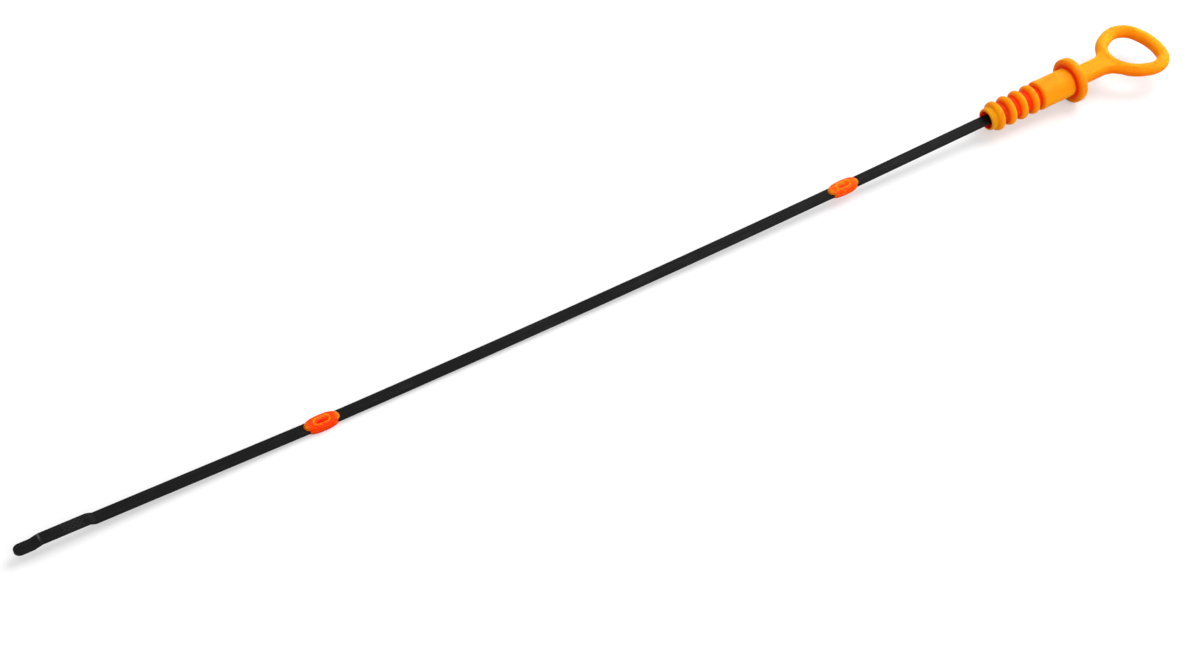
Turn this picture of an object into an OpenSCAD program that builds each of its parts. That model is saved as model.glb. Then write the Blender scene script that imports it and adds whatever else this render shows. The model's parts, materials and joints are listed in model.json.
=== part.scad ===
// Engine oil dipstick: a bowed flat steel blade with two moulded guides and a
// moulded pull handle. Millimetres, +Z up, lying at rest on z = 0 with the tip
// towards -X and the pull loop towards +X. The stick touches the surface with the
// rim of its collar and with the lower guide, so it lies a little handle-up.
//
// Distances named "..._at" are measured along the blade from the seat, which is the
// face of the collar that stops against the dipstick tube.

/* [Blade] */
// Length of the blade from the seat to its tip
blade_reach = 449.3; // [380:0.1:600]
// Width of the strip
blade_w = 4.7; // [3:0.1:6]
// Thickness of the strip
blade_t = 1.25; // [0.8:0.05:1.8]
// Length of strip held inside the handle, beyond the seat
blade_hold = 3; // [1:0.5:6]
// Gentle upward bow of the strip between the two guides, in degrees
bow = 2.28; // [0.5:0.01:6]
// Small set in the strip at the upper guide, in degrees
upper_set = 0.23; // [0.05:0.01:2]
// Small set in the strip at the lower guide, in degrees
lower_set = 1.05; // [0.05:0.01:2]
// Centreline radius of those two sets
set_r = 60; // [20:1:120]

/* [Measuring end] */
// Flat pad between the rounded tip and the first joggle
tip_pad = 6; // [4:0.1:12]
// Level section between the two joggles
level_len = 16.2; // [12:0.1:40]
// How far the joggles raise the level section
level_rise = 0.9; // [0.6:0.05:1.5]
// Slope of the joggle nearer the tip, in degrees
tip_joggle = 16; // [12:0.5:20]
// Slope of the joggle nearer the handle, in degrees
top_joggle = 25; // [20:0.5:30]
// Centreline radius of the joggle bends
bend_r = 2; // [1.5:0.1:2.2]
// Length of the cross hatching that shows the oil
hatch_len = 7.5; // [4:0.5:10]
// Gap from the joggle nearer the handle to the hatching
hatch_gap = 1.4; // [0.5:0.1:2]
// Spacing of the hatch lines
hatch_pitch = 1.25; // [0.8:0.05:2]
// Width of one hatch line
hatch_w = 0.3; // [0.15:0.05:0.4]
// Depth of one hatch line
hatch_depth = 0.12; // [0.05:0.01:0.2]

/* [Guides] */
// Distance from the seat to the upper guide
upper_guide_at = 111.4; // [80:0.1:140]
// Distance from the seat to the lower guide
lower_guide_at = 335.6; // [300:0.1:350]
// Overall length of a guide, which is turned to an ellipse
guide_len = 13.7; // [12:0.1:20]
// Diameter in the middle of a guide
guide_d = 6.5; // [6:0.1:8]
// Thickness between the flats above and below
guide_t = 3.4; // [3:0.1:4.4]
// Length of the floor of the core-pin pocket in a guide
pocket_len = 4.4; // [3:0.1:6]
// Width of the floor of that pocket
pocket_w = 1.4; // [0.8:0.05:1.8]
// Flare of the pocket walls, per side
pocket_flare = 0.25; // [0.1:0.05:0.4]
// Plastic left between the pocket floor and the strip
pocket_skin = 0.35; // [0.2:0.05:0.4]

/* [Plug] */
// Diameter of the body that fills the mouth of the tube
body_d = 12.2; // [11:0.1:16]
// Length of that body in front of the seat
body_len = 16; // [10:0.1:24]
// Rounding of the front edge of the body
body_edge = 0.7; // [0.3:0.1:1]
// Number of sealing rings
ring_count = 4; // [3:1:5]
// Distance between neighbouring rings
ring_pitch = 5.82; // [4.5:0.01:7]
// Distance from the body to the middle of the first ring
ring_lead = 4.1; // [3:0.1:6]
// Thickness of a ring, which has a fully round crest
ring_w = 2.9; // [2:0.1:3.5]
// Diameter of the core between the rings
core_d = 8.4; // [8:0.1:9.4]
// Distance from the middle of the last ring to the mouth of the nose
nose_len = 3.9; // [3:0.1:6]
// Diameter of the mouth of the nose
nose_d = 8.6; // [8.2:0.1:9.4]
// Diameter of the nose where it meets the last ring
nose_root_d = 9.4; // [9.4:0.1:10.4]
// Wall of the hollow nose
nose_wall = 1; // [0.8:0.05:1.2]
// Depth of the hollow in the nose
nose_depth = 9; // [5:0.5:14]

/* [Collar and neck] */
// Diameter of the collar
collar_d = 18.8; // [16:0.1:24]
// Thickness of the collar
collar_t = 3.4; // [2:0.1:4]
// Rounding of the edges of the collar
collar_edge = 0.95; // [0.4:0.05:0.98]
// Width of the neck, which has round sides
neck_w = 8.2; // [6:0.1:10]
// Thickness of the neck between its two flats
neck_t = 5; // [4:0.1:5.2]
// Fillet between the collar and the neck
neck_fillet = 0.8; // [0.3:0.1:1.5]

/* [Pull loop] */
// Distance from the seat to the far end of the loop
loop_reach = 46.8; // [44:0.1:56]
// Overall width of the loop
loop_w = 32.6; // [31:0.1:36]
// Diameter of the round bar that the loop is bent from
bar_d = 5.3; // [5.3:0.05:6.5]
// Angle of each straight side to the axis, in degrees
side_angle = 24; // [20:0.5:30]
// Centreline radius of the two corners
corner_r = 8; // [7:0.1:9]
// Centreline radius of the far end
far_r = 25; // [22:0.5:36]
// Centreline radius of the near end, where the neck joins
near_r = 13.3; // [10:0.1:14]

/* [Fits] */
// Gap left all round the strip where plastic is moulded over it
mould_gap = 0.05; // [0.02:0.01:0.15]
// Diameter of the anchor holes that the plastic flows through
anchor_d = 1.8; // [1:0.1:2.4]
// Distance from the seat to the anchor hole in the handle
handle_anchor_at = 9; // [5:0.5:12]

/* [Hidden] */
$fn = 64;
// Steps in which the side view follows the bow, a set and a joggle bend
bow_steps = 24;
set_steps = 2;
bend_steps = 5;
// Steps in which the ellipse of a guide goes from end to end
guide_steps = 12;
// How far a cutter reaches past the face that it opens
past = 1;
// Every second bar of the loop is slimmer by this and laps into its neighbours by this
seam_step = 0.02;
seam_lap = 0.3;

bar_r = bar_d / 2;
body_r = body_d / 2;
collar_r = collar_d / 2;
core_r = core_d / 2;
guide_r = guide_d / 2;

// A station is [distance towards the tip, height, heading], seen from the side in
// the handle's own frame, with the seat at zero.
function ahead(s, len) = [s[0] + len * cos(s[2]), s[1] + len * sin(s[2]), s[2]];
function bent(s, r, a) = [
    s[0] + r * sign(a) * (sin(s[2] + a) - sin(s[2])),
    s[1] + r * sign(a) * (cos(s[2]) - cos(s[2] + a)),
    s[2] + a
];
function arc_len(r, a) = abs(a) * PI * r / 180;
function slope_len(a) = (level_rise - 2 * bend_r * (1 - cos(a))) / sin(a);
function joggle_len(a) = 2 * arc_len(bend_r, a) + slope_len(a);

bow_len = lower_guide_at - upper_guide_at - arc_len(set_r, upper_set);
bow_r = bow_len / (bow * PI / 180);
last_run = blade_reach - lower_guide_at - arc_len(set_r, lower_set) - tip_pad - level_len
    - joggle_len(top_joggle) - joggle_len(tip_joggle);

// The strip as stretches from the handle to the tip: [length, radius, bend, steps]
stretches = [
    [upper_guide_at + blade_hold, 0, 0, 1],
    [0, set_r, upper_set, set_steps],
    [0, bow_r, bow, bow_steps],
    [0, set_r, lower_set, set_steps],
    [last_run, 0, 0, 1],
    [0, bend_r, top_joggle, bend_steps],
    [slope_len(top_joggle), 0, 0, 1],
    [0, bend_r, -top_joggle, bend_steps],
    [level_len, 0, 0, 1],
    [0, bend_r, -tip_joggle, bend_steps],
    [slope_len(tip_joggle), 0, 0, 1],
    [0, bend_r, tip_joggle, bend_steps],
    [tip_pad, 0, 0, 1]
];
function walk(s, m, share) = m[1] == 0 ? ahead(s, m[0] * share) : bent(s, m[1], m[2] * share);
function station(i) = i == 0 ? [-blade_hold, 0, 0] : walk(station(i - 1), stretches[i - 1], 1);
trail = [
    station(0),
    for (i = [0 : len(stretches) - 1])
        for (k = [1 : stretches[i][3]])
            walk(station(i), stretches[i], k / stretches[i][3])
];
handle_anchor_s = [handle_anchor_at, 0, 0];
upper_s = bent(station(1), set_r, upper_set / 2);
lower_s = bent(station(3), set_r, lower_set / 2);
level_s = station(8);
tip_s = station(len(stretches));

// Plan of the loop's centreline, seen from above
far_x = loop_reach - bar_r;
half_w = loop_w / 2 - bar_r;
far_c = [far_x - far_r, 0];
corner_turn = asin((half_w - corner_r) / (far_r - corner_r));
corner_c = far_c + (far_r - corner_r) * [cos(corner_turn), sin(corner_turn)];
side_normal = [-sin(side_angle), cos(side_angle)];
side_top = corner_c + corner_r * side_normal;
near_c = [side_top[0] - side_top[1] / tan(side_angle) + near_r / sin(side_angle), 0];
side_low = near_c + near_r * side_normal;
neck_sag = near_r - sqrt(near_r * near_r - neck_w * neck_w / 4);
neck_end = near_c[0] - near_r + neck_sag / 2;

// Rest: the collar's rim and the lower guide both touch z = 0
mid_collar = collar_t / 2;
rest_rise = collar_r + lower_s[1];
rest_run = lower_s[0] + mid_collar;
function rest_angle(h) = atan2(rest_rise, rest_run) - asin(h / norm([rest_rise, rest_run]));
guide_lean = lower_s[2] - rest_angle(guide_t / 2);
guide_flat = guide_len * sqrt(1 - pow(guide_t / guide_d, 2));
guide_drop = guide_t / 2 * cos(guide_lean) + guide_flat / 2 * sin(abs(guide_lean));
pitch = rest_angle(guide_drop);
axis_z = (collar_r - collar_edge) * cos(pitch) + collar_edge * (1 - sin(pitch));
max_x = far_x * cos(pitch) + bar_r;
min_x = -tip_s[0] * cos(pitch) - tip_s[1] * sin(pitch);
centre_x = (min_x + max_x) / 2;

// Lays the stick down and centres it over the origin
module lying() {
    translate([-centre_x, 0, axis_z])
        rotate([0, -pitch, 0])
            children();
}

// Puts children at a station: their -X points towards the tip
module at(s) {
    translate([-s[0], 0, s[1]])
        rotate([0, s[2], 0])
            children();
}

// Side view of the whole strip: out along its upper face, back along its lower one
module strip_side(t) {
    upper = [for (s = trail) [s[0] - sin(s[2]) * t / 2, s[1] + cos(s[2]) * t / 2]];
    lower = [for (s = trail) [s[0] + sin(s[2]) * t / 2, s[1] - cos(s[2]) * t / 2]];
    last = len(trail) - 1;
    polygon(concat(upper, [for (i = [last : -1 : 0]) lower[i]]));
}

// The plain strip; grow makes it the cutter for what is moulded over it
module strip(grow = 0) {
    mirror([1, 0, 0])
        rotate([90, 0, 0])
            linear_extrude(height = blade_w + 2 * grow, center = true)
                strip_side(blade_t + 2 * grow);
}

// Bore through the strip at a station, or the plastic that fills it
module anchor(s, d) {
    at(s)
        cylinder(d = d, h = 2 * blade_t, center = true);
}

// Room for the strip inside a moulding, with the anchor left standing in it
module strip_pocket(s) {
    difference() {
        strip(mould_gap);
        anchor(s, anchor_d - 2 * mould_gap);
    }
}

// Rounds the tip to a half circle as wide as the strip
module tip_corners() {
    at(tip_s)
        linear_extrude(height = 4 * blade_t, center = true)
            difference() {
                translate([-past, -blade_w])
                    square([blade_w / 2 + past, 2 * blade_w]);
                translate([blade_w / 2, 0])
                    circle(d = blade_w);
            }
}

// Crossed scratches on the upper face that hold the oil film
module hatching() {
    lines = ceil((hatch_len + blade_w) / hatch_pitch);
    reach = 2 * (hatch_len + blade_w);
    at(level_s)
        translate([-hatch_gap - hatch_len / 2, 0, blade_t / 2 - hatch_depth])
            intersection() {
                translate([-hatch_len / 2, -blade_w, 0])
                    cube([hatch_len, 2 * blade_w, past]);
                for (a = [-45, 45])
                    rotate([0, 0, a])
                        for (i = [-lines / 2 : lines / 2])
                            translate([-reach / 2, i * hatch_pitch * cos(45) - hatch_w / 2, 0])
                                cube([reach, hatch_w, past]);
            }
}

module blade() {
    color("#2b2b2e")
        lying()
            difference() {
                strip();
                tip_corners();
                hatching();
                anchor(handle_anchor_s, anchor_d);
                anchor(upper_s, anchor_d);
                anchor(lower_s, anchor_d);
            }
}

// Half profile of a guide: an ellipse, in even steps of its angle
module guide_profile() {
    polygon([
        for (i = [0 : guide_steps])
            let (a = 180 * i / guide_steps)
                [guide_r * sin(a), guide_len / 2 * cos(a)]
    ]);
}

// Pocket that the mould's core pin leaves, with flared walls and round ends
module core_pin_pocket() {
    floor_z = blade_t / 2 + mould_gap + pocket_skin;
    h = guide_t / 2 - floor_z + past;
    floor_r = pocket_w / 2;
    mouth_r = floor_r + pocket_flare * h / (h - past);
    run = pocket_len - pocket_w;
    translate([0, 0, floor_z]) {
        for (side = [-1, 1])
            translate([side * run / 2, 0, 0])
                cylinder(r1 = floor_r, r2 = mouth_r, h = h);
        rotate([90, 0, 90])
            linear_extrude(height = run, center = true)
                polygon([[-floor_r, 0], [floor_r, 0], [mouth_r, h], [-mouth_r, h]]);
    }
}

module guide(s) {
    lying()
        difference() {
            at(s)
                difference() {
                    intersection() {
                        rotate([0, 90, 0])
                            rotate_extrude()
                                guide_profile();
                        cube([guide_len, guide_d, guide_t], center = true);
                    }
                    core_pin_pocket();
                    rotate([180, 0, 0])
                        core_pin_pocket();
                }
            strip_pocket(s);
        }
}

module upper_guide() {
    color("#f05014")
        guide(upper_s);
}

module lower_guide() {
    color("#f05014")
        guide(lower_s);
}

// Half profile of a disc whose outer edges are rounded
module rounded_disc(r, w, edge) {
    square([r - edge, w]);
    translate([0, edge])
        square([r, w - 2 * edge]);
    for (y = [edge, w - edge])
        translate([r - edge, y])
            circle(r = edge);
}

// Half profile of one sealing ring with a fully round crest
module ring_profile() {
    crest = ring_w / 2;
    translate([0, -crest])
        square([body_r - crest, ring_w]);
    translate([body_r - crest, 0])
        circle(r = crest);
}

// Half profile of the plug, from the mouth of the nose to the back of the collar
module plug_profile() {
    last_ring = body_len + ring_lead + (ring_count - 1) * ring_pitch;
    mouth = last_ring + nose_len;
    difference() {
        union() {
            rounded_disc(collar_r, collar_t, collar_edge);
            translate([0, -body_len])
                rounded_disc(body_r, body_len + collar_t / 2, body_edge);
            translate([0, -last_ring])
                square([core_r, last_ring]);
            for (i = [0 : ring_count - 1])
                translate([0, -body_len - ring_lead - i * ring_pitch])
                    ring_profile();
            polygon([
                [0, -mouth], [nose_d / 2, -mouth],
                [nose_root_d / 2, -last_ring], [0, -last_ring]
            ]);
        }
        translate([-past, -mouth - past])
            square([nose_d / 2 - nose_wall + past, nose_depth + past]);
    }
}

// Half profile of the neck, with a fillet where it leaves the collar
module neck_profile() {
    neck_r = neck_w / 2;
    root = neck_r + neck_fillet;
    square([neck_r, neck_end]);
    difference() {
        square([root, collar_t + neck_fillet]);
        translate([root, collar_t + neck_fillet])
            circle(r = neck_fillet);
    }
}

// Round neck with a flat above and below, ending inside the bar of the loop
module neck() {
    intersection() {
        rotate([0, 90, 0])
            rotate_extrude()
                neck_profile();
        translate([0, -collar_r, -neck_t / 2])
            cube([neck_end, collar_d, neck_t]);
    }
}

// Straight bar of the loop between two points of the plan
module bar(p, q) {
    run = q - p;
    translate([p[0], p[1], 0])
        rotate([0, 0, atan2(run[1], run[0])])
            rotate([0, 90, 0])
                cylinder(r = bar_r, h = norm(run));
}

// Curved bar about a centre of the plan, from one angle through another. A slim one
// reaches a little way into the bars on both sides of it.
module bar_arc(c, r, from, turn, slim = false) {
    lap = slim ? seam_lap / r * 180 / PI : 0;
    translate([c[0], c[1], 0])
        rotate([0, 0, from - lap])
            rotate_extrude(angle = turn + 2 * lap)
                translate([r, 0])
                    circle(r = slim ? bar_r - seam_step : bar_r);
}

// Closed loop of round bar: four arcs and two straight sides
module loop() {
    bar_arc(far_c, far_r, -corner_turn, 2 * corner_turn);
    bar_arc(near_c, near_r, 90 + side_angle, 180 - 2 * side_angle, slim = true);
    for (side = [0, 1])
        mirror([0, side, 0]) {
            bar_arc(corner_c, corner_r, corner_turn, 90 + side_angle - corner_turn, slim = true);
            bar(side_low, side_top);
        }
}

module handle() {
    color("#ffa014")
        lying()
            difference() {
                union() {
                    rotate([0, 90, 0])
                        rotate_extrude()
                            plug_profile();
                    neck();
                    loop();
                }
                strip_pocket(handle_anchor_s);
            }
}

handle();
blade();
upper_guide();
lower_guide();
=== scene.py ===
import json
import math

import bmesh
import bpy
from bpy.props import FloatProperty, FloatVectorProperty, IntProperty, PointerProperty
from bpy.types import Operator, Panel, PropertyGroup
from mathutils import Euler, Matrix, Vector


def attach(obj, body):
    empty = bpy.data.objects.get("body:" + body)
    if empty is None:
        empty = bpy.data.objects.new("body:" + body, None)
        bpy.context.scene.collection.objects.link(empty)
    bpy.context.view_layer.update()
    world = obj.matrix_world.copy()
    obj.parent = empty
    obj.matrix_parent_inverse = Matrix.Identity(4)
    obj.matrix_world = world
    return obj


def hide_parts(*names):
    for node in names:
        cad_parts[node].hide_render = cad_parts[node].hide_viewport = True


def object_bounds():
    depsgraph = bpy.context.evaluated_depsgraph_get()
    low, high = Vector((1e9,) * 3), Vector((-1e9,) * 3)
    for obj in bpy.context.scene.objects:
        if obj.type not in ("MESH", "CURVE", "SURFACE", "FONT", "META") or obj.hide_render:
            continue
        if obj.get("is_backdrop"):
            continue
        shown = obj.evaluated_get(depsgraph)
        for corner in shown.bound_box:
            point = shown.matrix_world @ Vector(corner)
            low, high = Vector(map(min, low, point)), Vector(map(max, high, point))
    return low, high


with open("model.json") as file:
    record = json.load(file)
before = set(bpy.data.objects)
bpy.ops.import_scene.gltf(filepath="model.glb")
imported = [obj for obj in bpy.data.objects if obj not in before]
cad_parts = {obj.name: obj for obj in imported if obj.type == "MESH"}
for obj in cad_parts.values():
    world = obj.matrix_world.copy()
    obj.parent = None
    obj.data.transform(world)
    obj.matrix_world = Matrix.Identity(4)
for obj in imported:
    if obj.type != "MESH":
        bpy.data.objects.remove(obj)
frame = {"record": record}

bl_info = {
    "name": "Engine oil dipstick",
    "version": (1, 0, 0),
    "blender": (4, 5, 0),
    "location": "View3D > Sidebar > Dipstick",
    "description": "Builds the looks of an engine oil dipstick around its packed solids",
    "category": "Add Mesh",
}

CAD_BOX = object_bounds()
BODY = "root"
MM = 0.001
WELD = 0.001 * MM


# The part's own frame

def mount(name):
    """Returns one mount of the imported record."""
    for entry in frame["record"]["mounts"]:
        if entry["name"] == name:
            return entry
    raise RuntimeError(f"the record has no mount called {name}")


def handle_frame():
    """Returns the handle's frame: origin where its axis meets the seat, +X to the loop."""
    seat = mount("seat_face")
    along = -Vector(seat["axis"]).normalized()
    across = Vector((0, 1, 0))
    up = along.cross(across)
    origin = Vector(seat["pos_m"])
    origin.y = 0
    turn = Matrix((along, across, up)).transposed().to_4x4()
    return Matrix.Translation(origin) @ turn


HANDLE = handle_frame()
BODY_R = mount("tube_plug")["dims"]["r_mm"] * MM


# Settings

def length(name, text, default):
    """Returns a length property given in metres."""
    return FloatProperty(name=name, description=text, default=default, unit="LENGTH",
                         precision=5, min=0)


def angle(name, text, degrees):
    """Returns an angle property given in degrees."""
    return FloatProperty(name=name, description=text, default=math.radians(degrees),
                         subtype="ANGLE")


def colour(name, text, default):
    """Returns a colour property."""
    return FloatVectorProperty(name=name, description=text, default=default,
                               subtype="COLOR", size=3, min=0, max=1)


class DipstickBlade(PropertyGroup):
    """Sizes and colour of the steel strip."""
    reach: length("Reach", "From the seat to the tip, along the strip", 449.3 * MM)
    width: length("Width", "Width of the strip", 4.7 * MM)
    thickness: length("Thickness", "Thickness of the strip", 1.25 * MM)
    hold: length("Hold", "Strip inside the handle behind the seat", 3 * MM)
    edge: length("Edge", "Rounding of the long edges", 0.22 * MM)
    bow: angle("Bow", "Upward bow between the guides", 2.28)
    upper_set: angle("Upper set", "Set in the strip at the upper guide", 0.23)
    lower_set: angle("Lower set", "Set in the strip at the lower guide", 1.05)
    set_r: length("Set radius", "Radius of those sets", 60 * MM)
    tip_pad: length("Tip pad", "Flat pad at the tip", 6 * MM)
    level_len: length("Level", "Length between the joggles", 16.2 * MM)
    level_rise: length("Rise", "How far the joggles raise the level", 0.9 * MM)
    tip_joggle: angle("Tip joggle", "Slope of the joggle nearer the tip", 16)
    top_joggle: angle("Top joggle", "Slope of the joggle nearer the handle", 25)
    bend_r: length("Bend radius", "Radius of the joggle bends", 2 * MM)
    hatch_len: length("Hatching", "Length of the cross hatching", 7.5 * MM)
    hatch_gap: length("Hatch gap", "From the upper joggle to the hatching", 1.4 * MM)
    hatch_pitch: length("Hatch pitch", "Spacing of the hatch lines", 1.25 * MM)
    steel: colour("Coating", "Dark coating of the strip", (0.0040, 0.0037, 0.0038))
    # Colour of wear; three times it marks the hatching, and four and a half times it is the
    # painted highlight on the bend
    wear_and_highlight: colour("Worn coating", "Coating where it has rubbed", (0.015, 0.014, 0.014))


class DipstickGuides(PropertyGroup):
    """Sizes and colour of the two guides."""
    upper_at: length("Upper guide", "From the seat to the upper guide", 111.4 * MM)
    lower_at: length("Lower guide", "From the seat to the lower guide", 335.6 * MM)
    size: length("Length", "Overall length of a guide", 13.7 * MM)
    radius: length("Radius", "Radius in the middle of a guide", 3.25 * MM)
    thick: length("Thickness", "Thickness between the two flats", 3.4 * MM)
    pocket_len: length("Pocket length", "Length of the pocket's floor", 4.4 * MM)
    fullness: FloatProperty(name="Fullness", default=2.5, min=2, max=4,
                            description="Power of the barrel's outline, where 2 is an ellipse")
    pocket_w: length("Pocket width", "Width of the pocket's floor", 1.8 * MM)
    flare: length("Flare", "How far the pocket's walls lean out", 0.6 * MM)
    skin: length("Skin", "Plastic under the pocket's floor", 0.35 * MM)
    grain: length("Mesh grain", "Voxel of the softened mesh", 0.1 * MM)
    plastic: colour("Plastic", "Red orange of the upper guide", (0.92, 0.12, 0.002))
    low_plastic: colour("Low plastic", "Redder orange of the lower guide", (0.92, 0.055, 0.002))
    shade: colour("Shade", "Deeper tone of the guides", (0.92, 0.046, 0.002))
    # Painted highlight colour at the guides' ends and round the upper edges of the pockets
    rim_highlight: colour("Rim", "Lighter tone of the ends and round the pockets", (0.95, 0.24, 0.005))
    # Painted shade: deep red in the pockets and on the underside
    hollow: colour("Hollow", "Tone deep in the pockets", (0.80, 0.006, 0.001))
    # Shares of that painted shade on the upper and on the lower guide
    depth: FloatProperty(name="Depth", default=0.55, min=0, max=1,
                         description="Share of that tone on the upper guide")
    low_depth: FloatProperty(name="Low depth", default=0.9, min=0, max=1,
                             description="Share of that tone on the lower guide")


class DipstickHandle(PropertyGroup):
    """Sizes and colour of the handle."""
    body_len: length("Body", "Length of the body in front of the seat", 16 * MM)
    body_edge: length("Body edge", "Rounding of the body's front edge", 0.7 * MM)
    rings: IntProperty(name="Rings", description="Number of sealing rings", default=4, min=1)
    ring_pitch: length("Ring pitch", "Distance between rings", 5.82 * MM)
    ring_lead: length("Ring lead", "From the body to the first ring", 3.95 * MM)
    ring_w: length("Ring width", "Thickness of a ring", 3.2 * MM)
    ring_rake: length("Ring rake", "Slope of a ring's flank towards the tip", 0.9 * MM)
    lip_len: length("Lip", "Length of the lip at the body's front", 2.2 * MM)
    lip_rise: length("Lip rise", "How far that lip stands proud", 0.1 * MM)
    core_r: length("Core radius", "Radius between the rings", 4.2 * MM)
    nose_len: length("Nose", "From the last ring to the mouth", 4.05 * MM)
    nose_r: length("Nose radius", "Radius of the mouth", 4.5 * MM)
    nose_root_r: length("Nose root", "Radius where the nose meets the ring", 4.7 * MM)
    nose_wall: length("Nose wall", "Wall of the hollow nose", 1 * MM)
    nose_depth: length("Nose depth", "Depth of the hollow nose", 9 * MM)
    collar_r: length("Collar radius", "Radius of the collar", 9.4 * MM)
    collar_t: length("Collar", "Thickness of the collar", 3.4 * MM)
    collar_edge: length("Collar edge", "Rounding of the collar", 0.95 * MM)
    neck_w: length("Neck width", "Width of the neck", 8.5 * MM)
    neck_t: length("Neck thickness", "Thickness of the neck", 5 * MM)
    neck_fillet: length("Neck fillet", "Fillet at the collar", 0.8 * MM)
    fork_r: length("Fork radius", "Fillet between the neck and the loop", 7 * MM)
    loop_reach: length("Loop reach", "From the seat to the loop's far end", 46.8 * MM)
    loop_w: length("Loop width", "Overall width of the loop", 32.6 * MM)
    bar_r: length("Bar radius", "Radius of the loop's bar", 2.65 * MM)
    side_angle: angle("Side angle", "Lean of the loop's straight sides", 24)
    corner_r: length("Corner radius", "Centreline radius of the corners", 8 * MM)
    far_r: length("Far radius", "Centreline radius of the far end", 25 * MM)
    near_r: length("Near radius", "Centreline radius of the near end", 13.3 * MM)
    grain: length("Mesh grain", "Voxel of the softened mesh", 0.24 * MM)
    plastic: colour("Plastic", "Orange of the neck and loop", (0.94, 0.362, 0.004))
    plug_plastic: colour("Plug plastic", "Orange of the plug and collar", (0.94, 0.322, 0.003))
    shade: colour("Shade", "Deeper tone of the handle", (0.94, 0.262, 0.002))
    # Painted shade: deep red in the grooves, the nose, the seat's corner and down the loop's
    # sides
    hollow: colour("Hollow", "Tone deep in the grooves", (0.84, 0.032, 0.001))


class DipstickStage(PropertyGroup):
    """Floor, lamps and camera."""
    floor: length("Floor", "Side of the square floor", 4.0)
    floor_tone: FloatProperty(name="Floor tone", description="Reflectance of the floor",
                              default=0.55, min=0, max=1)
    floor_glow: FloatProperty(name="Floor glow", description="White the camera adds to it",
                              default=0.40, min=0, max=1)
    fade_near: length("Fade start", "Where the floor starts to fade to plain white", 0.45)
    fade_far: length("Fade end", "Where the floor is plain white", 1.0)
    ambient: FloatProperty(name="Ambient", description="Strength of the surrounding light",
                           default=0.52, min=0)
    key_power: FloatProperty(name="Key lamp", description="Power of the key lamp",
                             default=31.0, unit="POWER", min=0)
    fill_power: FloatProperty(name="Fill lamp", description="Power of the fill lamp",
                              default=21.0, unit="POWER", min=0)
    lens: FloatProperty(name="Lens", description="Focal length", default=60.0,
                        subtype="DISTANCE_CAMERA")
    camera_at: FloatVectorProperty(name="Camera", description="Camera in the handle's frame",
                                   default=(-0.45914, -0.47228, 0.52570),
                                   subtype="TRANSLATION", precision=5)
    camera_turn: FloatVectorProperty(name="Camera turn", description="Its turn in that frame",
                                     default=[math.radians(a) for a in (44.358, 4.107, -30.756)],
                                     subtype="EULER", precision=5)


# Materials

# How large the marks in the plastic and in the strip's coating are
FLOW = 5 * MM
SPECK = 0.9 * MM
SCUFF = 1.6 * MM
GRAIN = 0.22 * MM
ROLLED = 1.4 * MM
CLOUD = 9 * MM
FINE = 0.25 * MM

# How deep they are pressed in
FLOW_DEPTH = 0.05 * MM
GRAIN_DEPTH = 0.012 * MM
ROLLED_DEPTH = 0.02 * MM
FINE_DEPTH = 0.006 * MM
HATCH_DEPTH = 0.09 * MM

# How far light spreads in the plastic, and each colour's share of that
GLOW = 4.0 * MM
GLOW_SHARES = (1.0, 0.10, 0.02)

PLASTIC_GLOSS = 0.05
COATING_GLOSS = 0.075

# The painted highlight on the bend: its place past the end of the level, its bright core and its
# edge, and where across the strip it is dimmest and brightest
HIGHLIGHT_AT = 0.5 * MM
HIGHLIGHT_CORE = 0.1 * MM
HIGHLIGHT_EDGE = 0.6 * MM
HIGHLIGHT_DIM_SIDE = -1.6 * MM
HIGHLIGHT_BRIGHT_SIDE = 0.9 * MM


class Port:
    """One output socket of a material, whose arithmetic adds Math nodes."""

    def __init__(self, finish, socket):
        self.finish = finish
        self.socket = socket

    def math(self, operation, first, second):
        return self.finish.math(operation, first, second)

    def __add__(self, other):
        return self.math("ADD", self, other)

    def __radd__(self, other):
        return self.math("ADD", other, self)

    def __sub__(self, other):
        return self.math("SUBTRACT", self, other)

    def __rsub__(self, other):
        return self.math("SUBTRACT", other, self)

    def __mul__(self, other):
        return self.math("MULTIPLY", self, other)

    def __rmul__(self, other):
        return self.math("MULTIPLY", other, self)

    def __truediv__(self, other):
        return self.math("DIVIDE", self, other)

    def __lt__(self, other):
        return self.math("LESS_THAN", self, other)

    def __gt__(self, other):
        return self.math("GREATER_THAN", self, other)

    def __abs__(self):
        return self.math("ABSOLUTE", self, 0)


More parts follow.
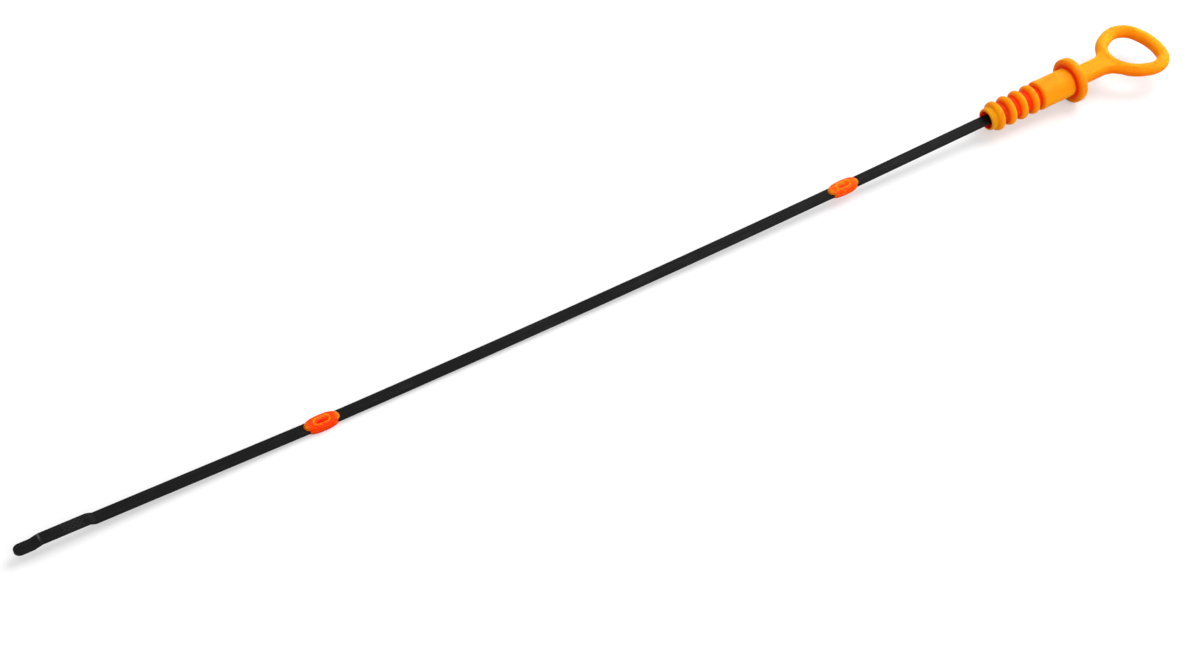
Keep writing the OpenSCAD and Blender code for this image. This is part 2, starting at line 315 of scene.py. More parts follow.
class Finish:
    """A material whose nodes are added one call at a time."""

    def __init__(self, name, holder=None):
        self.material = holder or bpy.data.materials.new(name)
        self.material.use_nodes = True
        self.tree = self.material.node_tree
        self.tree.nodes.clear()

    def add(self, kind, settings=None, sockets=None, out=0):
        """Adds a node, sets it, fills or links its sockets and returns one output."""
        node = self.tree.nodes.new(kind)
        for key, value in (settings or {}).items():
            setattr(node, key, value)
        for key, value in (sockets or {}).items():
            if isinstance(value, Port):
                self.tree.links.new(value.socket, node.inputs[key])
            else:
                node.inputs[key].default_value = value
        return Port(self, node.outputs[out]) if node.outputs else None

    def math(self, operation, first, second=0.0):
        """Returns one Math node's result."""
        return self.add("ShaderNodeMath", {"operation": operation}, {0: first, 1: second})

    def split(self, where):
        """Returns the three parts of a vector."""
        x = self.add("ShaderNodeSeparateXYZ", None, {"Vector": where})
        return [Port(self, x.socket.node.outputs[i]) for i in range(3)]

    def place(self, matrix=None):
        """Returns object coordinates, in the frame that the matrix gives."""
        where = self.add("ShaderNodeTexCoord", out="Object")
        if matrix is None:
            return where
        back = matrix.inverted()
        return self.add("ShaderNodeMapping", {"vector_type": "POINT"}, {
            "Vector": where,
            "Location": back.to_translation(),
            "Rotation": back.to_euler(),
        })

    def noise(self, where, size, detail=3.0, rough=0.5, stretch=None):
        """Returns noise whose features are about this size in metres."""
        if stretch:
            where = self.add("ShaderNodeMapping", {"vector_type": "POINT"},
                             {"Vector": where, "Scale": stretch})
        return self.add("ShaderNodeTexNoise", {"noise_dimensions": "3D"}, {
            "Vector": where, "Scale": 1 / size, "Detail": detail, "Roughness": rough})

    def ramp(self, value, low, high, bottom=0.0, top=1.0):
        """Returns the value spread smoothly from bottom to top between low and high."""
        return self.add("ShaderNodeMapRange", {"interpolation_type": "SMOOTHSTEP"}, {
            "Value": value, "From Min": low, "From Max": high,
            "To Min": bottom, "To Max": top})

    def mix(self, share, first, second):
        """Returns two colours mixed by a share."""
        paint = [Vector(c).to_4d() if not isinstance(c, Port) else c for c in (first, second)]
        return self.add("ShaderNodeMix", {"data_type": "RGBA"},
                        {0: share, 6: paint[0], 7: paint[1]}, out=2)

    def bump(self, height, depth, normal=None):
        """Returns a normal pushed by a height, with a depth in metres."""
        sockets = {"Height": height, "Distance": depth, "Strength": 1.0}
        if normal:
            sockets["Normal"] = normal
        return self.add("ShaderNodeBump", None, sockets)

    def surface(self, sockets):
        """Ends the material in one Principled shader."""
        shader = self.add("ShaderNodeBsdfPrincipled", None, sockets)
        self.add("ShaderNodeOutputMaterial", None, {"Surface": shader})
        return self.material


def moulded_plastic(name, plain, s, frame_matrix, painted_shade=None, rims=None):
    """Dyed moulded plastic: flow mottling, fine grain and handling scuffs, with painted shade and
    painted highlights where masks are given.
    """
    f = Finish(name)
    where = f.place(frame_matrix)
    flow = f.noise(where, FLOW, detail=2.0, stretch=(0.45, 1, 1))
    speck = f.noise(where, SPECK, detail=4.0, rough=0.6)
    tone = f.ramp(flow * 0.55 + speck * 0.45, 0.38, 0.64)
    paint = f.mix(tone * 0.6, plain, s.shade)
    # Painted highlight where rims says
    if rims:
        paint = f.mix(rims(f, where), paint, s.rim_highlight)
    # Painted shade where the mask says
    if painted_shade:
        paint = f.mix(painted_shade(f, where), paint, s.hollow)
    scuff = f.noise(where, SCUFF, detail=5.0, rough=0.65, stretch=(0.18, 1, 1))
    rough = 0.42 + tone * 0.06 + f.ramp(scuff, 0.54, 0.66) * 0.14
    grain = f.noise(where, GRAIN, detail=2.0)
    skin = f.bump(grain, GRAIN_DEPTH)
    skin = f.bump(flow, FLOW_DEPTH, skin)
    return f.surface({
        "Base Color": paint, "Roughness": rough, "Normal": skin,
        "Specular IOR Level": PLASTIC_GLOSS,
        "Subsurface Weight": 1.0,
        "Subsurface Radius": GLOW_SHARES,
        "Subsurface Scale": GLOW,
    })


def coated_steel(name, s, hatch_matrix, highlight_matrix):
    """Dark coated strip: rolled grain and wear, a painted highlight on a bend, and scratched
    level hatching.
    """
    f = Finish(name)
    where = f.place(HANDLE)
    rolled = f.noise(where, ROLLED, detail=5.0, rough=0.6, stretch=(0.04, 1, 1))
    cloud = f.noise(where, CLOUD, detail=3.0)
    fine = f.noise(where, FINE, detail=3.0)
    rubbed = f.ramp(rolled * 0.55 + cloud * 0.45, 0.47, 0.66, 0.0, 0.6)

    # Crossed scratches on the level section's upper face
    along, across, up = f.split(f.place(hatch_matrix))
    inside = (abs(along) < s.hatch_len / 2) * (up > s.thickness * 0.3)
    lines = None
    for side in (1, -1):
        diagonal = (along + across * side) / (s.hatch_pitch * 2 * math.cos(math.pi / 4))
        wave = abs(f.math("PINGPONG", diagonal, 0.5))
        groove = f.ramp(wave, 0.0, 0.13, 1.0, 0.0)
        lines = groove if lines is None else lines + groove
    hatch = f.ramp(lines, 0.0, 1.0) * inside

    # A painted highlight on the bend where the level drops to the tip
    past, over, above = f.split(f.place(highlight_matrix))
    crest = f.ramp(abs(past + HIGHLIGHT_AT), HIGHLIGHT_CORE, HIGHLIGHT_EDGE, 1.0, 0.0) * (above > 0)
    crest = crest * f.ramp(over, HIGHLIGHT_DIM_SIDE, HIGHLIGHT_BRIGHT_SIDE, 0.12, 1.0)

    paint = f.mix(rubbed, s.steel, s.wear_and_highlight)
    paint = f.mix(hatch * 0.5, paint, [c * 3 for c in s.wear_and_highlight])
    # Painted highlight on the bend, brighter towards one edge of the strip
    paint = f.mix(crest, paint, [c * 4.5 for c in s.wear_and_highlight])
    rough = 0.46 + f.ramp(cloud, 0.35, 0.7) * 0.10 + (fine - 0.5) * 0.10
    skin = f.bump(rolled, ROLLED_DEPTH)
    skin = f.bump(fine, FINE_DEPTH, skin)
    skin = f.bump(1 - hatch, HATCH_DEPTH, skin)
    return f.surface({
        "Base Color": paint, "Roughness": rough, "Normal": skin,
        "Metallic": 0.0, "Specular IOR Level": COATING_GLOSS,
    })


def seen_directly(f):
    """Returns 1 for rays from the camera, or by way of gloss or glass."""
    kinds = ("Is Camera Ray", "Is Glossy Ray", "Is Transmission Ray")
    camera, gloss, glass = (f.add("ShaderNodeLightPath", out=kind) for kind in kinds)
    return f.math("MAXIMUM", f.math("MAXIMUM", camera, gloss), glass)


def stage_white(name, tone, glow, near, far):
    """White paper floor: matt, with the rest of its white only seen, never cast.

    Between near and far from its middle what is seen fades to plain white.
    """
    f = Finish(name)
    paper = f.add("ShaderNodeBsdfDiffuse", None, {"Color": (tone, tone, tone, 1)})
    light = f.add("ShaderNodeEmission", None, {"Strength": glow})
    bright = f.add("ShaderNodeAddShader", None, {0: paper, 1: light})
    x, y, _ = f.split(f.place())
    away = f.ramp(f.math("SQRT", x * x + y * y), near, far)
    bare = f.add("ShaderNodeEmission", None, {"Strength": 1.0})
    faded = f.add("ShaderNodeMixShader", None, {0: away, 1: bright, 2: bare})
    shown = f.add("ShaderNodeMixShader", None, {0: seen_directly(f), 1: paper, 2: faded})
    f.add("ShaderNodeOutputMaterial", None, {"Surface": shown})
    return f.material


# Mesh making

# Sides of the round shapes, and steps in the turns of the loop
GUIDE_SIDES = 64
PLUG_SIDES = 112
BAR_SIDES = 40
NECK_SIDES = 48
FAR_STEPS = 10
CORNER_STEPS = 30
NEAR_STEPS = 36


def finish_piece(name, bm, matrix, material, nodes, weighted=True):
    """Turns a bmesh in a local frame into a placed, smooth piece of the part."""
    bmesh.ops.remove_doubles(bm, verts=bm.verts, dist=WELD)
    bmesh.ops.recalc_face_normals(bm, faces=bm.faces)
    bm.transform(matrix)
    mesh = bpy.data.meshes.new(name)
    bm.to_mesh(mesh)
    bm.free()
    mesh.shade_smooth()
    piece = bpy.data.objects.new(name, mesh)
    bpy.context.scene.collection.objects.link(piece)
    mesh.materials.append(material)
    if weighted:
        normals = piece.modifiers.new("Weighted normals", "WEIGHTED_NORMAL")
        normals.keep_sharp = True
    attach(piece, BODY)
    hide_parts(*nodes)


def wire_profile(bm, corners):
    """Makes a profile of (along, radius, rounding) corners in the XZ plane."""
    verts = [bm.verts.new((x, 0, r)) for x, r, _ in corners]
    for a, b in zip(verts, verts[1:]):
        bm.edges.new((a, b))
    for rounding in sorted({c[2] for c in corners if c[2] > 0}):
        group = [v for v, c in zip(verts, corners) if c[2] == rounding]
        bmesh.ops.bevel(bm, geom=group, offset=rounding, offset_type="OFFSET", segments=6,
                        profile=0.5, affect="VERTICES", clamp_overlap=False, material=-1)


def spin_full(bm, steps):
    """Turns all of a profile once round the X axis."""
    bmesh.ops.spin(bm, geom=bm.verts[:] + bm.edges[:], cent=(0, 0, 0), axis=(1, 0, 0),
                   dvec=(0, 0, 0), angle=math.tau, steps=steps, use_merge=True)


class Sweep:
    """A ring of edges that is pushed through space and leaves a skin behind it."""

    def __init__(self, bm, verts):
        self.bm = bm
        self.verts = list(verts)
        inside = set(self.verts)
        self.edges = [e for e in bm.edges if e.verts[0] in inside and e.verts[1] in inside]

    def cap(self):
        """Closes the skin with a face across the ring."""
        bmesh.ops.contextual_create(self.bm, geom=self.edges)

    def push(self, matrix):
        """Draws the ring out and moves it by a matrix."""
        out = bmesh.ops.extrude_edge_only(self.bm, edges=self.edges)["geom"]
        self.verts = [g for g in out if isinstance(g, bmesh.types.BMVert)]
        inside = set(self.verts)
        self.edges = [g for g in out if isinstance(g, bmesh.types.BMEdge)
                      and g.verts[0] in inside and g.verts[1] in inside]
        bmesh.ops.transform(self.bm, matrix=matrix, verts=self.verts)

    def run(self, way):
        """Pushes the ring straight on."""
        self.push(Matrix.Translation(way))

    def turn(self, centre, axis, whole, steps):
        """Pushes the ring round an axis in equal steps."""
        there = Matrix.Translation(centre)
        step = there @ Matrix.Rotation(whole / steps, 4, axis) @ there.inverted()
        for _ in range(steps):
            self.push(step)


def soften(bm, voxel, rounds, near=None, near_rounds=0):
    """Fuses closed shells into one skin and smooths it, more so where near says."""
    mesh = bpy.data.meshes.new("soft_work")
    bm.to_mesh(mesh)
    bm.free()
    work = bpy.data.objects.new("soft_work", mesh)
    bpy.context.scene.collection.objects.link(work)
    grid = work.modifiers.new("Grid", "REMESH")
    grid.mode = "VOXEL"
    grid.voxel_size = voxel
    graph = bpy.context.evaluated_depsgraph_get()
    fused = bmesh.new()
    fused.from_mesh(work.evaluated_get(graph).data)
    bpy.data.objects.remove(work)
    bpy.data.meshes.remove(mesh)
    for _ in range(rounds):
        bmesh.ops.smooth_vert(fused, verts=fused.verts, factor=0.5,
                              use_axis_x=True, use_axis_y=True, use_axis_z=True)
    if near:
        chosen = [v for v in fused.verts if near(v.co)]
        for _ in range(near_rounds):
            bmesh.ops.smooth_vert(fused, verts=chosen, factor=0.5,
                                  use_axis_x=True, use_axis_y=True, use_axis_z=True)
    return fused


def cut_away(bm, cutters):
    """Subtracts closed bmeshes from a closed bmesh."""
    objects = []
    for i, shape in enumerate([bm] + cutters):
        bmesh.ops.recalc_face_normals(shape, faces=shape.faces)
        mesh = bpy.data.meshes.new(f"cut_work_{i}")
        shape.to_mesh(mesh)
        shape.free()
        objects.append(bpy.data.objects.new(f"cut_work_{i}", mesh))
        bpy.context.scene.collection.objects.link(objects[-1])
    body = objects[0]
    for tool in objects[1:]:
        cut = body.modifiers.new(tool.name, "BOOLEAN")
        cut.operation = "DIFFERENCE"
        cut.solver = "EXACT"
        cut.object = tool
    graph = bpy.context.evaluated_depsgraph_get()
    result = bmesh.new()
    result.from_mesh(body.evaluated_get(graph).data)
    for thing in objects:
        mesh = thing.data
        bpy.data.objects.remove(thing)
        bpy.data.meshes.remove(mesh)
    return result


# The strip's path, as stations of (distance to the tip, height, heading)

# How many of its stretches there are up to the end of each of these
UPPER_SET, LOWER_SET, TOP_JOGGLE, LEVEL = 2, 4, 8, 9


def ahead(s, run):
    """Returns the station after a straight run."""
    return (s[0] + run * math.cos(s[2]), s[1] + run * math.sin(s[2]), s[2])


def bent(s, r, turn):
    """Returns the station after a bend."""
    side = math.copysign(1, turn)
    return (s[0] + r * side * (math.sin(s[2] + turn) - math.sin(s[2])),
            s[1] + r * side * (math.cos(s[2]) - math.cos(s[2] + turn)),
            s[2] + turn)


def station_matrix(s):
    """Returns the frame at a station: -X to the tip, +Z off the upper face."""
    return Matrix.Translation((-s[0], 0, s[1])) @ Matrix.Rotation(s[2], 4, "Y")


def strip_stretches(b, g):
    """Returns the strip from the handle to the tip as (length, radius, bend, steps)."""
    def slope(a):
        return (b.level_rise - 2 * b.bend_r * (1 - math.cos(a))) / math.sin(a)

    bow_r = (g.lower_at - g.upper_at - b.set_r * b.upper_set) / b.bow
    joggles = sum(2 * b.bend_r * a + slope(a) for a in (b.top_joggle, b.tip_joggle))
    last = b.reach - g.lower_at - b.set_r * b.lower_set - b.tip_pad - b.level_len - joggles
    return [
        (g.upper_at + b.hold, 0, 0, 1),
        (0, b.set_r, b.upper_set, 2),
        (0, bow_r, b.bow, 48),
        (0, b.set_r, b.lower_set, 3),
        (last, 0, 0, 1),
        (0, b.bend_r, b.top_joggle, 8),
        (slope(b.top_joggle), 0, 0, 1),
        (0, b.bend_r, -b.top_joggle, 8),
        (b.level_len, 0, 0, 1),
        (0, b.bend_r, -b.tip_joggle, 6),
        (slope(b.tip_joggle), 0, 0, 1),
        (0, b.bend_r, b.tip_joggle, 6),
    ]


def station_after(b, g, count, share=1.0):
    """Returns the station after some stretches, with only a share of the last one."""
    s = (-b.hold, 0, 0)
    for i, (run, r, turn, _) in enumerate(strip_stretches(b, g)[:count]):
        part = share if i == count - 1 else 1.0
        s = bent(s, r, turn * part) if r else ahead(s, run * part)
    return s


# Operators

class DIPSTICK_OT_blade(Operator):
    """Build the bowed steel strip with its joggles and rounded tip"""
    bl_idname = "dipstick.blade"
    bl_label = "Blade"

    def execute(self, context):
        b = context.scene.dipstick_blade
        g = context.scene.dipstick_guides
        bm = bmesh.new()
        stand = Matrix.Translation((b.hold, 0, 0)) @ Matrix.Rotation(math.pi / 2, 4, "Y")
        size = Matrix.Diagonal((b.thickness, b.width, 1, 1))
        verts = bmesh.ops.create_grid(bm, x_segments=1, y_segments=1, size=0.5,
                                      matrix=stand @ size)["verts"]
        sweep = Sweep(bm, verts)
        s = (-b.hold, 0, 0)
        for run, r, turn, steps in strip_stretches(b, g):
            frame_here = station_matrix(s)
            if r:
                side = math.copysign(1, turn)
                sweep.turn(frame_here @ Vector((0, 0, side * r)), "Y", turn, steps)
                s = bent(s, r, turn)
            else:
                sweep.run(frame_here.to_3x3() @ Vector((-run, 0, 0)))
                s = ahead(s, run)
        self.round_tip(sweep, s, b)
        sweep.cap()
        sharp = [e for e in bm.edges if len(e.link_faces) == 2
                 and e.calc_face_angle() > math.radians(45)]
        bmesh.ops.bevel(bm, geom=sharp, offset=b.edge, offset_type="OFFSET", segments=4,
                        profile=0.5, affect="EDGES", clamp_overlap=True, material=-1)
        level = station_matrix(station_after(b, g, TOP_JOGGLE))
        middle = Matrix.Translation((-b.hatch_gap - b.hatch_len / 2, 0, 0))
        # Frame of the bend that carries the painted highlight
        crest = station_matrix(station_after(b, g, LEVEL))
        steel = coated_steel("coated_steel", b, HANDLE @ level @ middle, HANDLE @ crest)
        finish_piece("blade_strip", bm, HANDLE, steel, ["blade"])
        return {"FINISHED"}

    def round_tip(self, sweep, s, b):
        """Draws the last of the strip in to a half circle."""
        steps, last_share = 12, 0.3
        half = b.width / 2
        sweep.run(station_matrix(s).to_3x3() @ Vector((half - b.tip_pad, 0, 0)))
        done = 0.0
        width = 1.0
        for k in range(1, steps):
            a = math.pi / 2 * k / steps
            reach, share = half * math.sin(a), math.cos(a)
            way = station_matrix(s).to_3x3() @ Vector((done - reach, 0, 0))
            sweep.push(Matrix.Translation(way) @ Matrix.Diagonal((1, share / width, 1, 1)))
            done, width = reach, share
        way = station_matrix(s).to_3x3() @ Vector((done - half, 0, 0))
        sweep.push(Matrix.Translation(way) @ Matrix.Diagonal((1, last_share, 1, 1)))


class DIPSTICK_OT_guides(Operator):
    """Build the two barrel guides moulded on the strip"""
    bl_idname = "dipstick.guides"
    bl_label = "Guides"

    def execute(self, context):
        b = context.scene.dipstick_blade
        g = context.scene.dipstick_guides
        places = {
            "upper_guide": station_after(b, g, UPPER_SET, 0.5),
            "lower_guide": station_after(b, g, LOWER_SET, 0.5),
        }
        for node, s in places.items():
            matrix = HANDLE @ station_matrix(s)
            upper = node == "upper_guide"
            plain_tone = g.plastic if upper else g.low_plastic
            depth = g.depth if upper else g.low_depth
            plastic = moulded_plastic(f"{node}_plastic", plain_tone, g, matrix,
                                      lambda f, where: self.painted_shade(f, where, g, depth),
                                      lambda f, where: self.rims(f, where, g))
            finish_piece(f"{node}_moulding", self.barrel(b, g), matrix, plastic,
                         [node], weighted=False)
        return {"FINISHED"}

    def from_pocket(self, f, x, y, g):
        """Returns the distance from the middle line of the pockets."""
        past = f.math("MAXIMUM", abs(x) - (g.pocket_len - g.pocket_w) / 2, 0)
        return f.math("SQRT", past * past + y * y)

    def painted_shade(self, f, where, g, depth):
        """Returns the share of painted shade in a pocket, moved a little towards -Y, and on the
        underside up to just above the middle.
        """
        x, y, z = f.split(where)
        off_middle, lip, clear_height = 0.35 * MM, 0.05 * MM, 0.4 * MM
        # Painted shade in the pocket, its middle moved towards -Y
        away = self.from_pocket(f, x, y + off_middle, g)
        pocket_shade = f.ramp(away, g.pocket_w * 0.25, g.pocket_w * 0.65, depth, 0.0)
        pocket_shade = pocket_shade * (abs(z) < g.thick / 2 - lip)
        # Painted shade on the underside, fading out just above the middle
        under = f.ramp(z, -g.thick / 2, clear_height, depth, 0.0)
        return f.math("MAXIMUM", pocket_shade, under)

    def rims(self, f, where, g):
        """Returns the share of painted highlight at the ends and round the upper edges of the
        pockets.
        """
        x, y, z = f.split(where)
        away = self.from_pocket(f, x, y, g)
        edge = f.ramp(away, g.pocket_w * 0.4, g.pocket_w * 0.8)
        edge = edge * f.ramp(away, g.pocket_w * 0.8, g.pocket_w * 1.5, 0.75, 0.0)
        ends = f.ramp(abs(x), g.size * 0.3, g.size * 0.5, 0.0, 0.7)
        return f.math("MAXIMUM", edge * (z > 0), ends)

    def barrel(self, b, g):
        """Elliptical barrel with two flats and a pocket in each, softened as moulded."""
        steps = 24
        bm = bmesh.new()
        power = 2 / g.fullness
        rim_depth = 0.8 * MM
        turns = [math.pi * i / steps for i in range(steps + 1)]
        wire_profile(bm, [(-math.copysign(abs(math.cos(a)) ** power, math.cos(a)) * g.size / 2,
                           abs(math.sin(a)) ** power * g.radius, 0) for a in turns])
        spin_full(bm, GUIDE_SIDES)
        bmesh.ops.remove_doubles(bm, verts=bm.verts, dist=WELD)
        for side in (1, -1):
            cut = bmesh.ops.bisect_plane(bm, geom=bm.verts[:] + bm.edges[:] + bm.faces[:],
                                         plane_co=(0, 0, side * g.thick / 2),
                                         plane_no=(0, 0, side), clear_outer=True)
            open_edges = [e for e in cut["geom_cut"] if isinstance(e, bmesh.types.BMEdge)]
            bmesh.ops.contextual_create(bm, geom=open_edges)

        def flat_rim(co):
            """Tells the rims of the flats from those of the pockets."""
            clear = abs(co.x) > g.pocket_len * 0.75 or abs(co.y) > g.pocket_w * 0.85
            return clear and abs(co.z) > g.thick / 2 - rim_depth

        pockets = [self.pocket(b, g, turn) for turn in (0, math.pi)]
        return soften(cut_away(bm, pockets), g.grain, rounds=6, near=flat_rim, near_rounds=60)

    def pocket(self, b, g, turn):
        """Flared stadium that cuts one pocket."""
        floor = b.thickness / 2 + g.skin
        past = 0.4 * MM
        tall = g.thick / 2 - floor + past
        bm = bmesh.new()
        bmesh.ops.create_cube(bm, size=1)
        bmesh.ops.scale(bm, verts=bm.verts, vec=(g.pocket_len, g.pocket_w, tall))
        bmesh.ops.translate(bm, verts=bm.verts, vec=(0, 0, floor + tall / 2))
        upright = [e for e in bm.edges if abs(e.verts[0].co.z - e.verts[1].co.z) > tall / 2]
        bmesh.ops.bevel(bm, geom=upright, offset=g.pocket_w * 0.49, offset_type="OFFSET",
                        segments=8, profile=0.5, affect="EDGES", clamp_overlap=True,
                        material=-1)
        lean = g.flare * tall / (tall - past)
        run = g.pocket_len / 2 - g.pocket_w / 2
        widen = (g.pocket_w / 2 + lean) / (g.pocket_w / 2)
        for v in bm.verts:
            if v.co.z > floor + tall / 2:
                end = math.copysign(run, v.co.x)
                v.co.x = end + (v.co.x - end) * widen
                v.co.y *= widen
        bmesh.ops.rotate(bm, verts=bm.verts, cent=(0, 0, 0),
                         matrix=Matrix.Rotation(turn, 3, "X"))
        return bm


class DIPSTICK_OT_plug(Operator):
    """Build the ringed plug with its hollow nose and collar"""
    bl_idname = "dipstick.plug"
    bl_label = "Plug"

    def execute(self, context):
        h = context.scene.dipstick_handle
        bm = bmesh.new()
        wire_profile(bm, self.corners(h))
        spin_full(bm, PLUG_SIDES)
        plastic = moulded_plastic("plug_plastic", h.plug_plastic, h, HANDLE,
                                  lambda f, where: self.painted_shade(f, where, h))
        finish_piece("handle_plug", bm, HANDLE, plastic, ["handle"])
        return {"FINISHED"}

    def painted_shade(self, f, where, h):
        """Returns the share of painted shade in the grooves, the nose and the seat's corner."""
        x, y, z = f.split(where)
        radius = f.math("SQRT", y * y + z * z)
        groove = f.ramp(radius, h.core_r - 0.2 * MM, BODY_R - 0.2 * MM, 1.0, 0.0)
        first = -h.body_len - h.ring_lead - (h.rings - 1) * h.ring_pitch
        groove = groove * (x < -h.body_len) * (x > first)
        mouth = f.ramp(radius, h.nose_r - h.nose_wall, h.nose_r - 0.3 * MM, 1.0, 0.0)
        groove = f.math("MAXIMUM", groove, mouth * (x < first))
        # Painted shade on the collar's front face round the body
        corner = f.ramp(radius, BODY_R + 0.5 * MM, h.collar_r - 0.8 * MM, 0.95, 0.12)
        corner = corner * f.ramp(x, -1.2 * MM, -0.2 * MM) * (x < h.collar_t / 2)
        return f.math("MAXIMUM", groove, corner)

    def corners(self, h):
        """Profile from the floor of the nose round to the back of the collar."""
        fillet, bore_fillet, seat_fillet = 0.35 * MM, 0.3 * MM, 0.25 * MM
        bore_edge, mouth_edge, lip_edge = 0.2 * MM, 0.45 * MM, 0.08 * MM
        crest = h.ring_w * 0.33
        half = h.ring_w / 2
        centres = [-h.body_len - h.ring_lead - i * h.ring_pitch for i in range(h.rings)]
        mouth = centres[-1] - h.nose_len
        bore = h.nose_r - h.nose_wall
        points = [(mouth + h.nose_depth, 0, 0), (mouth + h.nose_depth, bore, bore_fillet),
                  (mouth, bore, bore_edge), (mouth, h.nose_r, mouth_edge)]
        root = h.nose_root_r
        for x in reversed(centres):
            points += [(x - half, root, fillet), (x - half + h.ring_rake, BODY_R, crest),
                       (x + half, BODY_R, crest), (x + half, h.core_r, fillet)]
            root = h.core_r
        step = h.lip_len - h.body_len
        return points + [
            (-h.body_len, h.core_r, fillet), (-h.body_len, BODY_R, h.body_edge),
            (step, BODY_R, lip_edge), (step + h.lip_rise, BODY_R - h.lip_rise, lip_edge),
            (0, BODY_R - h.lip_rise, seat_fillet), (0, h.collar_r, h.collar_edge),
            (h.collar_t, h.collar_r, h.collar_edge), (h.collar_t, 0, 0)]


class DIPSTICK_OT_loop(Operator):
    """Build the neck and the pull loop as one softened moulding"""
    bl_idname = "dipstick.loop"
    bl_label = "Pull loop"

    def execute(self, context):
        h = context.scene.dipstick_handle
        far_x = h.loop_reach - h.bar_r
        half_w = h.loop_w / 2 - h.bar_r
        spread = h.far_r - h.corner_r
        corner_turn = math.asin((half_w - h.corner_r) / spread)
        far_c = Vector((far_x - h.far_r, 0, 0))
        corner_c = far_c + spread * Vector((math.cos(corner_turn), math.sin(corner_turn), 0))
        normal = Vector((-math.sin(h.side_angle), math.cos(h.side_angle), 0))
        side_top = corner_c + h.corner_r * normal
        near_x = (side_top.x - side_top.y / math.tan(h.side_angle)
                  + h.near_r / math.sin(h.side_angle))
        near_c = Vector((near_x, 0, 0))
        side_low = near_c + h.near_r * normal

        bm = bmesh.new()
        stand = Matrix.Translation((far_x, 0, 0)) @ Matrix.Rotation(math.pi / 2, 4, "X")
        verts = bmesh.ops.create_circle(bm, segments=BAR_SIDES, radius=h.bar_r,
                                        matrix=stand)["verts"]
        sweep = Sweep(bm, verts)
        flip = Matrix.Diagonal((1, -1, 1, 1))
        corner = math.pi / 2 + h.side_angle - corner_turn
        sweep.turn(far_c, "Z", corner_turn, FAR_STEPS)
        sweep.turn(corner_c, "Z", corner, CORNER_STEPS)
        sweep.run(side_low - side_top)
        sweep.turn(near_c, "Z", math.pi - 2 * h.side_angle, NEAR_STEPS)
        sweep.run(flip @ side_top - flip @ side_low)
        sweep.turn(flip @ corner_c, "Z", corner, CORNER_STEPS)
        sweep.turn(far_c, "Z", corner_turn, FAR_STEPS)
        bmesh.ops.remove_doubles(bm, verts=bm.verts, dist=0.01 * MM)

        sag = h.near_r - math.sqrt(h.near_r ** 2 - h.neck_w ** 2 / 4)
        end = near_x - h.near_r + sag / 2
        self.neck(bm, h, near_x, end)
        bmesh.ops.recalc_face_normals(bm, faces=bm.faces)

        low, high, half = h.collar_t + 1.5 * MM, end + 1.0 * MM, 9.5 * MM

        def near(co):
            """Tells the neck and its fork from the rest of the loop."""
            return low < co.x < high and abs(co.y) < half

        soft = soften(bm, h.grain, rounds=2, near=near, near_rounds=24)
        # Painted shade down the sides of the bar
        plastic = moulded_plastic("loop_plastic", h.plastic, h, HANDLE, self.sides)
        finish_piece("handle_loop", soft, HANDLE, plastic, ["handle"],
                     weighted=False)
        return {"FINISHED"}

    def sides(self, f, where):
        """Returns the share of painted shade down the side of the bar."""
        _, _, z = f.split(where)
        return f.ramp(z, -0.8 * MM, 1.5 * MM, 0.42, 0.0)

    def neck(self, bm, h, near_x, end):
        """Adds the neck: round sides, flat above and below, flared at both ends."""
        radius = h.neck_w / 2
        sink = 0.9 * MM
        steps, thinning, last_share = 6, 0.98, 0.7
        stand = Matrix.Rotation(math.pi / 2, 4, "Y")
        verts = bmesh.ops.create_circle(bm, segments=NECK_SIDES, radius=radius,
                                        matrix=stand)["verts"]
        flat = h.neck_t / 2
        for v in verts:
            v.co.z = max(-flat, min(flat, v.co.z))
        wide = 1 + h.neck_fillet / radius
        start = Matrix.Translation((h.collar_t - sink, 0, 0))
        bmesh.ops.transform(bm, matrix=start @ Matrix.Diagonal((1, wide, wide, 1)), verts=verts)
        sweep = Sweep(bm, verts)
        sweep.cap()
        sweep.run((sink, 0, 0))
        x, size = 0.0, wide
        for k in range(1, steps + 1):
            a = math.pi / 2 * k / steps
            step = h.neck_fillet * (1 - math.cos(a))
            share = 1 + h.neck_fillet * (1 - math.sin(a)) / radius
            grow = share / size
            sweep.push(Matrix.Translation((step - x, 0, 0)) @ Matrix.Diagonal((1, grow, grow, 1)))
            x, size = step, share
        outer = h.near_r + h.bar_r
        side = radius + h.fork_r
        fork = near_x - math.sqrt((outer + h.fork_r) ** 2 - side ** 2)
        fork_end = near_x - (near_x - fork) * outer / (outer + h.fork_r)
        sweep.run((fork - h.collar_t - x, 0, 0))
        at, size = fork, 1.0
        for k in range(1, steps + 1):
            reach = (fork_end - fork) * k / steps
            share = (side - math.sqrt(h.fork_r ** 2 - reach ** 2)) / radius
            step = Matrix.Translation((fork + reach - at, 0, 0))
            sweep.push(step @ Matrix.Diagonal((1, share / size, thinning, 1)))
            at, size = fork + reach, share
        sweep.push(Matrix.Translation((end - at, 0, 0)) @ Matrix.Diagonal((1, last_share, 1, 1)))
        sweep.cap()


# The two lamps, and the point they are aimed at
LAMP_SIZE = 1.35
KEY_AT = (1.28, 0.15, 1.43)
FILL_AT = (0.45, -1.65, 1.2)
LAMPS_AIM = (0.08, 0, 0)


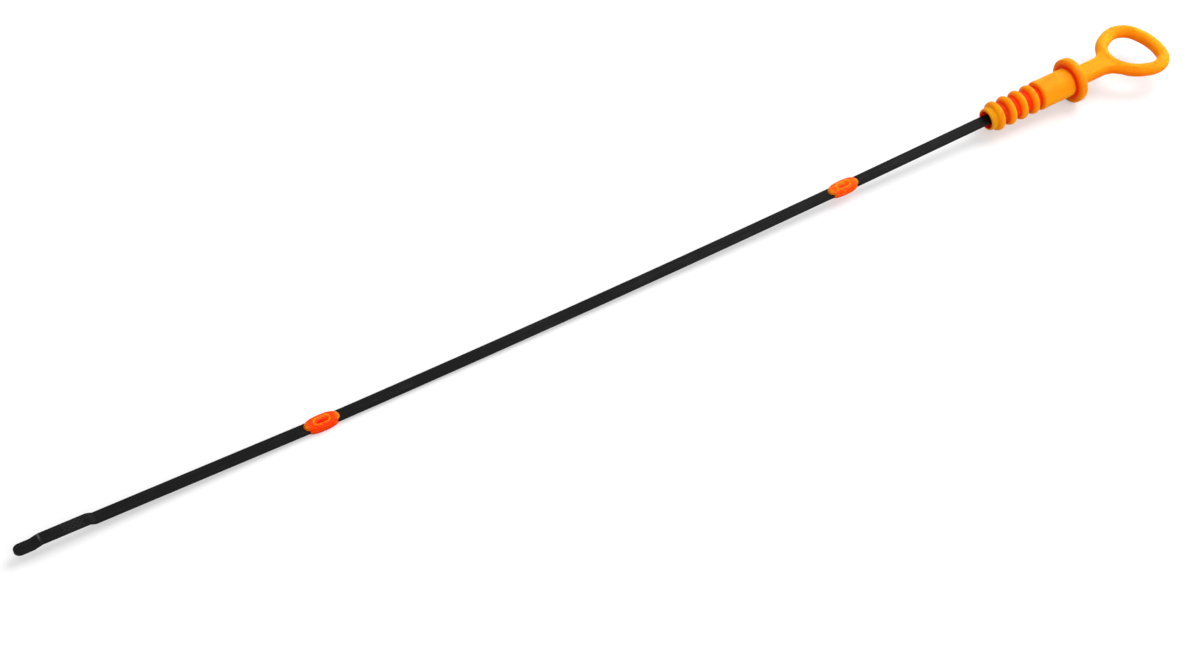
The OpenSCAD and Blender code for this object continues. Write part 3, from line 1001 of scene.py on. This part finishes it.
class DIPSTICK_OT_stage(Operator):
    """Set the floor, the lamps, the world and the camera"""
    bl_idname = "dipstick.stage"
    bl_label = "Stage"

    def execute(self, context):
        st = context.scene.dipstick_stage
        bm = bmesh.new()
        bmesh.ops.create_grid(bm, x_segments=1, y_segments=1, size=st.floor / 2)
        mesh = bpy.data.meshes.new("floor")
        bm.to_mesh(mesh)
        bm.free()
        mesh.materials.append(stage_white("floor_paper", st.floor_tone, st.floor_glow,
                                          st.fade_near, st.fade_far))
        floor = bpy.data.objects.new("floor", mesh)
        context.scene.collection.objects.link(floor)
        floor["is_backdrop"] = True
        self.lamp("key_lamp", st.key_power, KEY_AT)
        self.lamp("fill_lamp", st.fill_power, FILL_AT)
        self.surroundings(context.scene, st)
        self.camera(context.scene, st)
        context.scene.view_settings.view_transform = "Standard"
        return {"FINISHED"}

    def lamp(self, name, power, at):
        """Adds a soft square lamp aimed at the middle of the part."""
        light = bpy.data.lights.new(name, "AREA")
        light.energy = power
        light.size = LAMP_SIZE
        lamp = bpy.data.objects.new(name, light)
        lamp.location = at
        aim = Vector(LAMPS_AIM) - Vector(at)
        lamp.rotation_euler = aim.to_track_quat("-Z", "Y").to_euler()
        bpy.context.scene.collection.objects.link(lamp)

    def surroundings(self, scene, st):
        """Gives soft grey light all round, seen as white by camera and gloss."""
        world = bpy.data.worlds.new("studio")
        f = Finish("studio", world)
        white = (1, 1, 1, 1)
        soft = f.add("ShaderNodeBackground", None, {"Color": white, "Strength": st.ambient})
        bare = f.add("ShaderNodeBackground", None, {"Color": white, "Strength": 1.0})
        sky = f.add("ShaderNodeMixShader", None, {0: seen_directly(f), 1: soft, 2: bare})
        f.add("ShaderNodeOutputWorld", None, {"Surface": sky})
        scene.world = world

    def camera(self, scene, st):
        """Looks down the stick from above its tip, as the photograph does."""
        data = bpy.data.cameras.new("camera")
        data.lens = st.lens
        data.sensor_width = 36.0
        data.sensor_fit = "HORIZONTAL"
        data.clip_start = 0.01
        camera = bpy.data.objects.new("camera", data)
        place = Matrix.Translation(st.camera_at) @ Euler(st.camera_turn).to_matrix().to_4x4()
        camera.matrix_world = HANDLE @ place
        scene.collection.objects.link(camera)
        scene.camera = camera


class DIPSTICK_PT_panel(Panel):
    """Lists the dipstick's pieces and sizes"""
    bl_idname = "DIPSTICK_PT_panel"
    bl_label = "Engine oil dipstick"
    bl_space_type = "VIEW_3D"
    bl_region_type = "UI"
    bl_category = "Dipstick"

    def draw(self, context):
        for operator, group in PIECES:
            box = self.layout.box()
            box.operator(operator.bl_idname)
            settings = getattr(context.scene, group)
            for name in type(settings).__annotations__:
                box.prop(settings, name)


SETTINGS = {
    "dipstick_blade": DipstickBlade,
    "dipstick_guides": DipstickGuides,
    "dipstick_handle": DipstickHandle,
    "dipstick_stage": DipstickStage,
}
PIECES = [
    (DIPSTICK_OT_blade, "dipstick_blade"),
    (DIPSTICK_OT_guides, "dipstick_guides"),
    (DIPSTICK_OT_plug, "dipstick_handle"),
    (DIPSTICK_OT_loop, "dipstick_handle"),
    (DIPSTICK_OT_stage, "dipstick_stage"),
]


def register():
    for name, group in SETTINGS.items():
        bpy.utils.register_class(group)
        setattr(bpy.types.Scene, name, PointerProperty(type=group))
    for operator, _ in PIECES:
        bpy.utils.register_class(operator)
    bpy.utils.register_class(DIPSTICK_PT_panel)


def unregister():
    bpy.utils.unregister_class(DIPSTICK_PT_panel)
    for operator, _ in reversed(PIECES):
        bpy.utils.unregister_class(operator)
    for name, group in reversed(SETTINGS.items()):
        delattr(bpy.types.Scene, name)
        bpy.utils.unregister_class(group)


def plain(box):
    """Returns a box as plain lists of numbers."""
    return [[float(value) for value in corner] for corner in box]


def main():
    register()
    bpy.ops.dipstick.blade()
    bpy.ops.dipstick.guides()
    bpy.ops.dipstick.plug()
    bpy.ops.dipstick.loop()
    bpy.ops.dipstick.stage()
    {"cad": plain(CAD_BOX), "visual": plain(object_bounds())}


if __name__ == "__main__":
    main()
